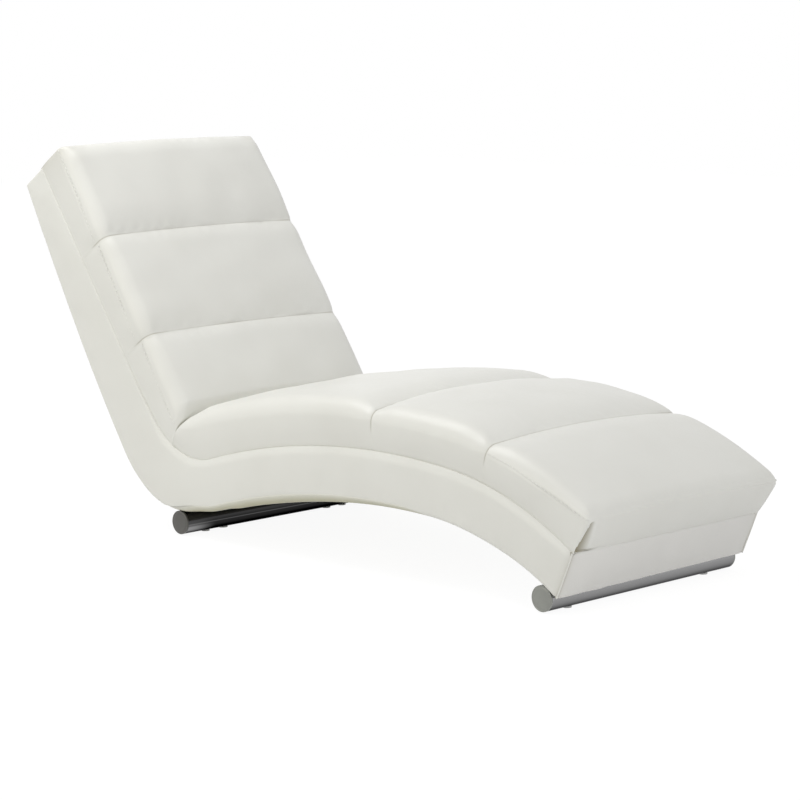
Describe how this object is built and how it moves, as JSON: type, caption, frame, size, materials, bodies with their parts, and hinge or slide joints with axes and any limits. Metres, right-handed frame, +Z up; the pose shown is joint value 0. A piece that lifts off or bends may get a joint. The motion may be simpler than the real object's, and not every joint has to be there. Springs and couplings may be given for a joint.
{
  "type": "relaxation lounger",
  "caption": "S-shaped relaxation lounger for a spa: a padded, leather-covered base with sewn cushions from head to calf, standing on two round metal floor tubes.",
  "frame": {"origin": "centre of the whole footprint's box, on the floor", "axes": "+X from the head end to the foot end, +Y to the sitter's left, +Z up"},
  "size_m": [1.6504, 0.5536, 0.8051],
  "materials": {
    "ivory_leather": "semi-gloss",
    "foam": "matte foam",
    "plywood": "raw plywood",
    "timber": "raw softwood",
    "elastic_strap": "woven",
    "lining_cloth": "felted",
    "chromed_tube": "polished",
    "satin_cap": "satin",
    "zinc_plate": "plated",
    "black_nylon": "matte"
  },
  "bodies": {
    "lounger": {"side_frame_left": "plywood", "side_frame_right": "plywood", "head_rail": "timber", "shoulder_rail": "timber", "lumbar_rail": "timber", "seat_rail": "timber", "knee_rail": "timber", "calf_rail": "timber", "rear_foot_block": "timber", "front_foot_block": "timber", "frame_screws_left": "zinc_plate", "frame_screws_right": "zinc_plate", "back_webbing": "elastic_strap", "seat_webbing": "elastic_strap", "deck_lining": "lining_cloth", "side_padding_left": "foam", "side_padding_right": "foam", "foot_end_padding": "foam", "side_cover_left": "zinc_plate", "side_cover_right": "zinc_plate", "head_end_cover": "ivory_leather", "foot_end_cover": "ivory_leather", "underside_cover": "ivory_leather", "headrest_cover": "ivory_leather", "upper_back_cover": "ivory_leather", "lumbar_cover": "ivory_leather", "seat_cover": "ivory_leather", "thigh_cover": "ivory_leather", "calf_cover": "ivory_leather", "headrest_foam": "foam", "upper_back_foam": "foam", "lumbar_foam": "foam", "seat_foam": "foam", "thigh_foam": "foam", "calf_foam": "foam", "rear_tube": "chromed_tube", "front_tube": "chromed_tube", "rear_cap_left": "satin_cap", "rear_cap_right": "satin_cap", "front_cap_left": "satin_cap", "front_cap_right": "satin_cap", "rear_bolts": "zinc_plate", "front_bolts": "zinc_plate", "rear_washers": "zinc_plate", "front_washers": "zinc_plate", "rear_tee_nuts": "zinc_plate", "front_tee_nuts": "zinc_plate", "rear_plugs": "black_nylon", "front_plugs": "black_nylon", "rear_glide_left": "black_nylon", "rear_glide_right": "black_nylon", "front_glide_left": "black_nylon", "front_glide_right": "black_nylon"}
  },
  "joints": []
}
